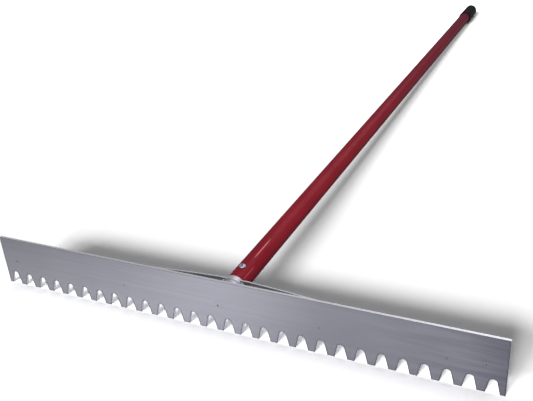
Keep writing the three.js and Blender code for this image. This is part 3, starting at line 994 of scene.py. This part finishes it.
# End cap: black vinyl, dipped as one sleeve with a rounded end and a rolled rim, and pushed over the
# far end of the handle.
cap_low, cap_high = measured("end_cap")
cap_wall = 0.0023
cap_rim_height = 0.0005
cap_rim_width = 0.004
cap_end_radius = 0.005
cap_bore = tube_radius + seat_gap
cap_radius = cap_bore + cap_wall
cap = turned("vinyl_end_cap", [
    (cap_bore, tube_high.y + seat_gap),
    (cap_bore, cap_low.y),
    (cap_radius, cap_low.y),
    *quarter(cap_radius, cap_low.y + cap_rim_height, cap_rim_height, -math.pi / 2, 0)[1:],
    (cap_radius + cap_rim_height, cap_low.y + cap_rim_width),
    (cap_radius, cap_low.y + cap_rim_width + cap_rim_height),
    *quarter(cap_radius - cap_end_radius, cap_high.y - cap_end_radius, cap_end_radius, 0, math.pi / 2),
], tube_sides)
laid_along_handle(cap)
leaned_back(cap, soft_degrees=40)
vinyl_dark = (0.0055, 0.0055, 0.0075, 1)
vinyl_dusty = (0.012, 0.012, 0.016, 1)
dust_from = 0.4
dust_full = 0.75
vinyl, tree, shader = new_material("black_vinyl", specular_ior_level=0, coat_weight=0.05, coat_roughness=0.35)
dust = noise(tree, scale=40, detail=5)
wire(tree, toned(tree, vinyl_dark, vinyl_dusty, dust, dust_from, dust_full), shader.inputs["Base Color"])
roughened(tree, shader, dust, least=0.42, most=0.6)
bumped(tree, shader, noise(tree, scale=300, detail=4), distance=0.00012)
dressed(cap, vinyl)
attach(cap, "root")
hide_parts("end_cap")


# Floor: a plain pale floor. To the camera, and in metal, it is bright enough to be white wherever the
# key lights reach it, and it keeps the tool's shadow. Painted light makes it paler just behind the teeth,
# for the light that comes through between them, and towards the handle's far end, where the shadow
# fades, and a painted shadow makes it a little darker before the teeth.
floor_size = 60
floor_height = cad_bounds[0].z
floor_pale = 0.8
floor_seen = 3.42
teeth_glow = 0.34
teeth_glow_from = 0.024
teeth_glow_to = 0.064
far_glow = 0.8
far_glow_from = 0.4
far_glow_to = 2.1
teeth_shade = -0.38
teeth_shade_reach = 0.06
teeth_shade_full = 0.006
glow_least = -1
glow_most = 2
floor = added("studio_floor", bpy.ops.mesh.primitive_plane_add, size=floor_size,
              location=(0, 0, floor_height))
floor_paint = bpy.data.materials.new("floor_paint")
floor_paint.use_nodes = True
tree = floor_paint.node_tree
tree.nodes.clear()


def seen_plainly(tree):
    """1 for rays from the camera, in gloss or through glass, and 0 for the rays that light things."""
    path = add_node(tree, "ShaderNodeLightPath").outputs
    either = calculate(tree, "MAXIMUM", path["Is Camera Ray"], path["Is Glossy Ray"])
    return calculate(tree, "MAXIMUM", either, path["Is Transmission Ray"])


place = place_by_axis(tree)
# Painted light just behind the teeth
behind = calculate(
    tree, "MULTIPLY",
    spread(tree, place["Y"], 0, teeth_glow, blade_front, blade_back),
    spread(tree, place["Y"], 1, 0, teeth_glow_from, teeth_glow_to))
# Painted shadow just before the teeth
before = calculate(
    tree, "MULTIPLY",
    spread(tree, place["Y"], 0, teeth_shade, -teeth_shade_reach, -teeth_shade_full),
    spread(tree, place["Y"], 1, 0, -teeth_shade_full, blade_back))
between_ends = spread(tree, calculate(tree, "ABSOLUTE", place["X"]), 1, 0,
                      blade_high.x - teeth_shade_reach / 2, blade_high.x + teeth_shade_reach / 2)
glow = calculate(tree, "ADD", behind, calculate(tree, "MULTIPLY", before, between_ends))
# Painted light towards the handle's far end
glow = calculate(tree, "ADD", glow, spread(tree, place["Y"], 0, far_glow, far_glow_from, far_glow_to))
colour = blend_colours(tree, seen_plainly(tree), (floor_pale, floor_pale, floor_pale, 1),
                       spread(tree, glow, 0, (glow_most - glow_least) * floor_seen, glow_least, glow_most))
matt = add_node(tree, "ShaderNodeBsdfDiffuse", {"Color": colour})
add_node(tree, "ShaderNodeOutputMaterial", {"Surface": matt.outputs[0]})
floor.data.materials.append(floor_paint)


# Light: three key lights side by side in front light the floor and throw the tool's soft shadow back
# along it, and a dimmer one from the same side lights the tool. Two from the left show the grain of the
# bars, one fills from above, one from behind lights the back, and the surround is dim.
surround_strength = 0.06


def receivers(name, objects, link_state):
    """A collection that names the objects which a light reaches, or those that it leaves out."""
    listed = bpy.data.collections.new(name)
    for index, piece in enumerate(objects):
        listed.objects.link(piece)
        listed.collection_objects[index].light_linking.link_state = link_state
    return listed


def distant_light(name, reached, elevation, azimuth, width, strength):
    """A light from far off, with its angles in degrees. Azimuth 0 is straight in front of the blade,
    and grows to the left. Width is how broad the light looks."""
    bpy.ops.object.light_add(type="SUN")
    light = bpy.context.object
    light.name = name
    upwards = math.radians(elevation)
    leftwards = math.radians(azimuth)
    towards = Vector((-math.sin(leftwards) * math.cos(upwards), -math.cos(leftwards) * math.cos(upwards),
                      math.sin(upwards)))
    light.rotation_euler = towards.to_track_quat("Z", "Y").to_euler()
    light.data.energy = strength
    light.data.angle = math.radians(width)
    light.light_linking.receiver_collection = reached


floor_only = receivers("floor_only", [floor], "INCLUDE")
all_but_floor = receivers("all_but_floor", [floor], "EXCLUDE")
bars_and_hub = receivers("bars_and_hub", [floor, handle, cap], "EXCLUDE")
for azimuth, strength in ((0, 0.62), (12, 0.6), (24, 0.46)):
    distant_light("key_light", floor_only, elevation=27, azimuth=azimuth, width=11, strength=strength)
distant_light("front_light", all_but_floor, elevation=27.5, azimuth=9.5, width=18, strength=0.95)
distant_light("wide_grain_light", bars_and_hub, elevation=12, azimuth=33.5, width=24, strength=0.41)
distant_light("near_grain_light", bars_and_hub, elevation=12, azimuth=26, width=10, strength=0.66)
distant_light("top_light", all_but_floor, elevation=52, azimuth=-60, width=70, strength=1.75)
distant_light("back_light", all_but_floor, elevation=38, azimuth=188, width=36, strength=1.1)

surround = bpy.data.worlds.new("surround")
bpy.context.scene.world = surround
surround.use_nodes = True
tree = surround.node_tree
background = tree.nodes["Background"]
background.inputs["Color"].default_value = (1, 1, 1, 1)
wire(tree, spread(tree, seen_plainly(tree), surround_strength, 1), background.inputs["Strength"])

bpy.context.scene.view_settings.view_transform = "Standard"
